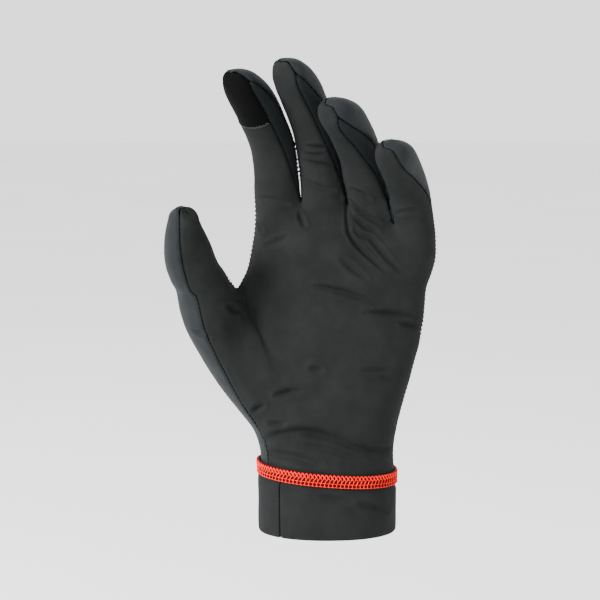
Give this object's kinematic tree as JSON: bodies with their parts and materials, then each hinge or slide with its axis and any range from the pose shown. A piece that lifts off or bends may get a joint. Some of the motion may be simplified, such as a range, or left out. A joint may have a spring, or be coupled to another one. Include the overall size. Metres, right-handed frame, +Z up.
{
  "type": "glove liner",
  "caption": "Left-hand knitted glove liner in charcoal stretch cloth, curled as worn, with a touch-screen patch on the index fingertip and a looped red seam above a plain cuff",
  "frame": {"origin": "centre of the wrist opening, in the plane of the cuff's hem", "axes": "+Z runs up from the wrist opening towards the fingertips, the palm faces -Y and the thumb lies towards -X"},
  "size_m": [0.1333, 0.0738, 0.2374],
  "materials": {
    "palm_cloth": "fine matt charcoal stretch knit",
    "back_cloth": "fine matt slate grey stretch knit",
    "touch_cloth": "dense black conductive knit",
    "seam_thread": "red looped sewing thread"
  },
  "bodies": {
    "root": {"palm_panel": "palm_cloth", "back_panel": "back_cloth", "index_middle_fourchette": "back_cloth", "middle_ring_fourchette": "back_cloth", "ring_little_fourchette": "back_cloth", "index_touch_patch": "touch_cloth", "cuff": "palm_cloth", "wrist_seam": "seam_thread"}
  },
  "joints": []
}
